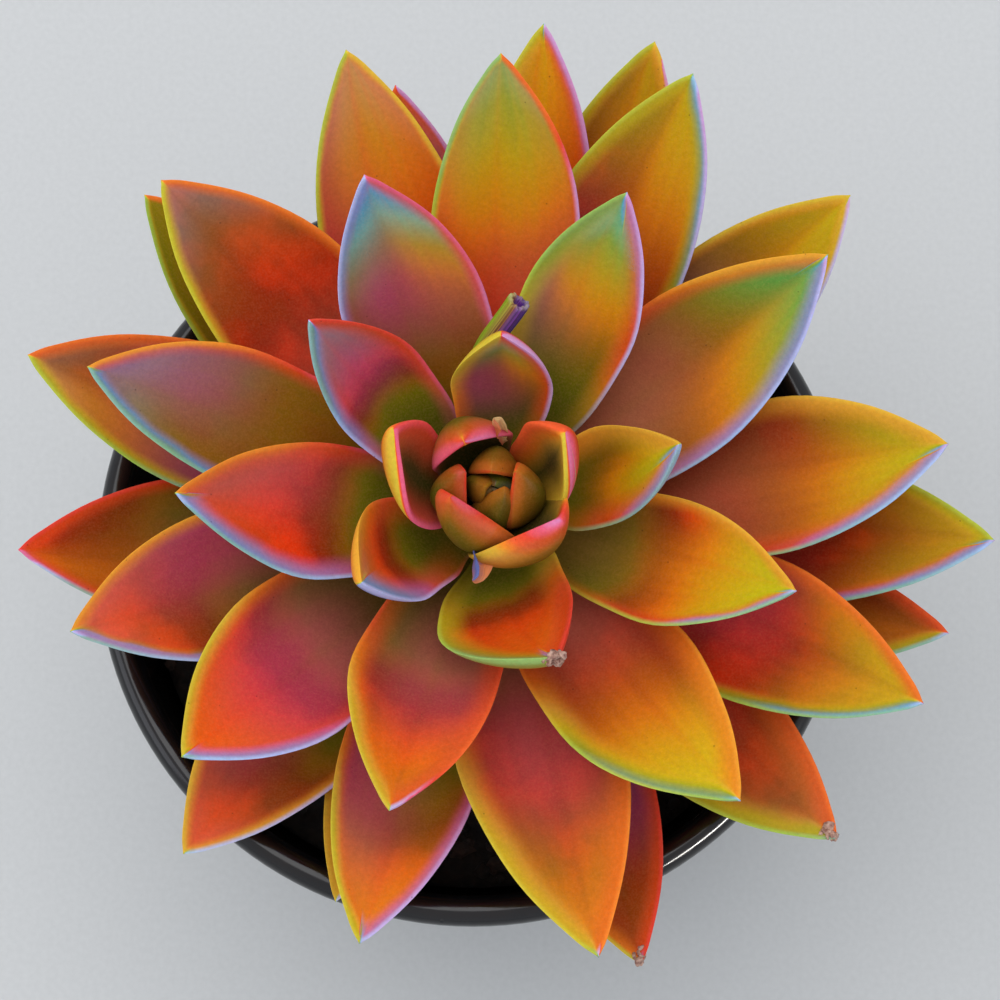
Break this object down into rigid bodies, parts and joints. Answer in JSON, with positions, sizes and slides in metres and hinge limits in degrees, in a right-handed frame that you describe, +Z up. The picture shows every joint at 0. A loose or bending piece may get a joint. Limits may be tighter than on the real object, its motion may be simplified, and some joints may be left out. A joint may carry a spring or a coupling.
{
  "type": "potted echeveria",
  "caption": "Succulent rosette of pointed fleshy leaves with bright margins, on a short leaning stem in soil, in a round black glazed pot that rests on its flat base.",
  "frame": {"origin": "centre of the pot's flat underside", "axes": "+Z up through the pot; -Y towards the camera's side of the picture, where the rosette leans; +X to the picture's right"},
  "size_m": [0.1465, 0.1388, 0.1522],
  "materials": {
    "leaf": "satin",
    "stem": "matte",
    "soil": "matte",
    "glaze": "gloss"
  },
  "bodies": {
    "root": {"leaf_01": "leaf", "leaf_02": "leaf", "leaf_03": "leaf", "leaf_04": "leaf", "leaf_05": "leaf", "leaf_06": "leaf", "leaf_07": "leaf", "leaf_08": "leaf", "leaf_09": "leaf", "leaf_10": "leaf", "leaf_11": "leaf", "leaf_12": "leaf", "leaf_13": "leaf", "leaf_14": "leaf", "leaf_15": "leaf", "leaf_16": "leaf", "leaf_17": "leaf", "leaf_18": "leaf", "leaf_19": "leaf", "leaf_20": "leaf", "leaf_21": "leaf", "leaf_22": "leaf", "leaf_23": "leaf", "leaf_24": "leaf", "leaf_25": "leaf", "leaf_26": "leaf", "leaf_27": "leaf", "leaf_28": "leaf", "leaf_29": "leaf", "leaf_30": "leaf", "leaf_31": "leaf", "leaf_32": "leaf", "leaf_33": "leaf", "leaf_34": "leaf", "leaf_35": "leaf", "leaf_36": "leaf", "heart": "leaf", "stem": "stem", "flower_stalk_stub": "stem", "soil": "soil", "pot": "glaze"}
  },
  "joints": []
}
